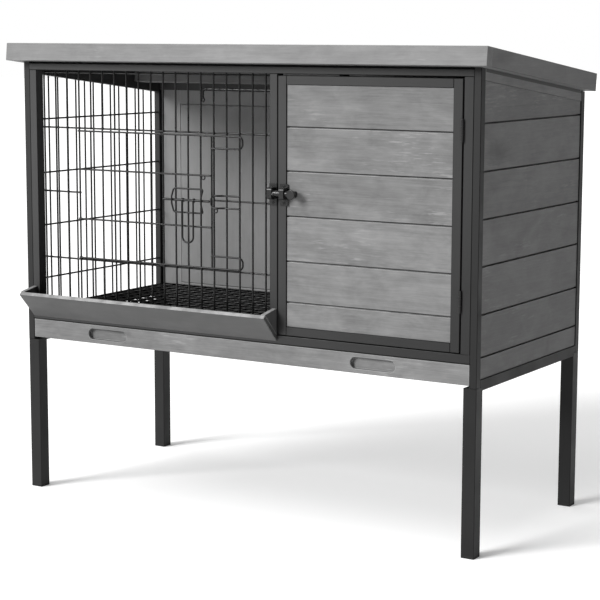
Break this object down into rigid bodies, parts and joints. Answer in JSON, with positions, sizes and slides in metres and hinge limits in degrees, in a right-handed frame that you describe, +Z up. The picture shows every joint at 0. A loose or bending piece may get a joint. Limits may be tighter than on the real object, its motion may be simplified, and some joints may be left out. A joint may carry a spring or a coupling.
{
  "type": "rabbit hutch",
  "caption": "Raised rabbit hutch on steel legs with a wire run, boarded nest, hinged sloping roof, wire door, solid door, feeding trough and pull-out tray.",
  "frame": {"origin": "centre of the bounding box at ground level, under the hutch", "axes": "+X to the right seen from the front, +Y to the rear, +Z up"},
  "size_m": [0.898, 0.4322, 0.7698],
  "materials": {
    "grey_wood": "matt stain",
    "charcoal_wood": "matt paint",
    "trough_wood": "matt stain",
    "leg_steel": "satin paint",
    "black_wire": "semi-gloss coating",
    "dark_hardware": "satin",
    "foot_plastic": "matt",
    "roof_felt": "mineral felt",
    "tray_plastic": "matt"
  },
  "bodies": {
    "frame": {"front_left_leg": "leg_steel", "front_right_leg": "leg_steel", "rear_left_leg": "leg_steel", "rear_right_leg": "leg_steel", "foot_plugs": "foot_plastic", "front_left_post": "charcoal_wood", "front_right_post": "charcoal_wood", "rear_left_post": "charcoal_wood", "rear_right_post": "charcoal_wood", "front_top_rail": "charcoal_wood", "front_bottom_rail": "charcoal_wood", "front_left_stile": "charcoal_wood", "centre_stile": "charcoal_wood", "front_right_stile": "charcoal_wood", "rear_top_rail": "charcoal_wood", "rear_bottom_rail": "charcoal_wood", "left_top_rail": "charcoal_wood", "side_bottom_rails": "charcoal_wood", "right_top_rail": "grey_wood", "right_wall_boards": "grey_wood", "back_wall_frame": "grey_wood", "back_wall_panel": "grey_wood", "partition": "grey_wood", "nest_floor": "grey_wood", "floor_bearers": "grey_wood", "trough_front_board": "trough_wood", "trough_ends": "trough_wood", "wire_floor": "black_wire", "mesh_panel_top": "black_wire", "mesh_panel_bottom": "black_wire", "mesh_panel_sides": "black_wire", "left_mesh_panel": "black_wire", "wire_latch_keeper": "black_wire", "roof_hinge_frame_leaves": "dark_hardware", "door_hinge_frame_leaves": "dark_hardware", "bolt_keeper": "dark_hardware", "drawer_runners": "dark_hardware"},
    "roof": {"roof_front_fascia": "grey_wood", "roof_rear_fascia": "grey_wood", "roof_side_fascias": "grey_wood", "roof_panel": "grey_wood", "roof_felt": "roof_felt", "roof_battens": "grey_wood", "roof_hinge_leaves": "dark_hardware", "prop_brackets": "dark_hardware"},
    "prop": {"prop_rod": "dark_hardware"},
    "solid_door": {"door_stiles": "charcoal_wood", "door_rails": "charcoal_wood", "door_boards": "grey_wood", "door_hinge_leaves": "dark_hardware", "bolt_guide": "dark_hardware"},
    "door_bolt": {"door_bolt": "dark_hardware"},
    "drawer": {"drawer_front": "grey_wood", "drawer_walls": "grey_wood", "drawer_base": "tray_plastic"},
    "wire_door": {"wire_door_grille": "black_wire", "wire_bolt_guide": "black_wire"},
    "wire_bolt": {"wire_bolt_rod": "black_wire"},
    "bolt_handle": {"wire_bolt_handle": "black_wire"}
  },
  "joints": [
    {"name": "roof_hinge", "type": "hinge", "parent": "frame", "child": "roof", "pos_m": [0, 0.2135, 0.69403], "axis": [-1, 0, 0], "range_deg": [0, 95]},
    {"name": "prop_swing", "type": "hinge", "parent": "roof", "child": "prop", "pos_m": [0.18, -0.1471, 0.6975], "axis": [0, -1, 0], "range_deg": [0, 90]},
    {"name": "solid_door_hinge", "type": "hinge", "parent": "frame", "child": "solid_door", "pos_m": [0.4013, -0.1795, 0.518], "axis": [0, 0, 1], "range_deg": [0, 165]},
    {"name": "door_bolt_slide", "type": "slide", "parent": "solid_door", "child": "door_bolt", "axis": [-1, 0, 0], "range_m": [0, 0.012]},
    {"name": "drawer_slide", "type": "slide", "parent": "frame", "child": "drawer", "axis": [0, -1, 0], "range_m": [0, 0.34]},
    {"name": "wire_door_hinge", "type": "hinge", "parent": "frame", "child": "wire_door", "pos_m": [-0.3279, -0.1576, 0.5157], "axis": [0, 0, -1], "range_deg": [0, 120]},
    {"name": "wire_bolt_slide", "type": "slide", "parent": "wire_door", "child": "wire_bolt", "axis": [1, 0, 0], "range_m": [0, 0.013]},
    {"name": "bolt_handle_swing", "type": "hinge", "parent": "wire_bolt", "child": "bolt_handle", "pos_m": [-0.10025, -0.164, 0.5176], "axis": [-1, 0, 0], "range_deg": [0, 90]}
  ]
}
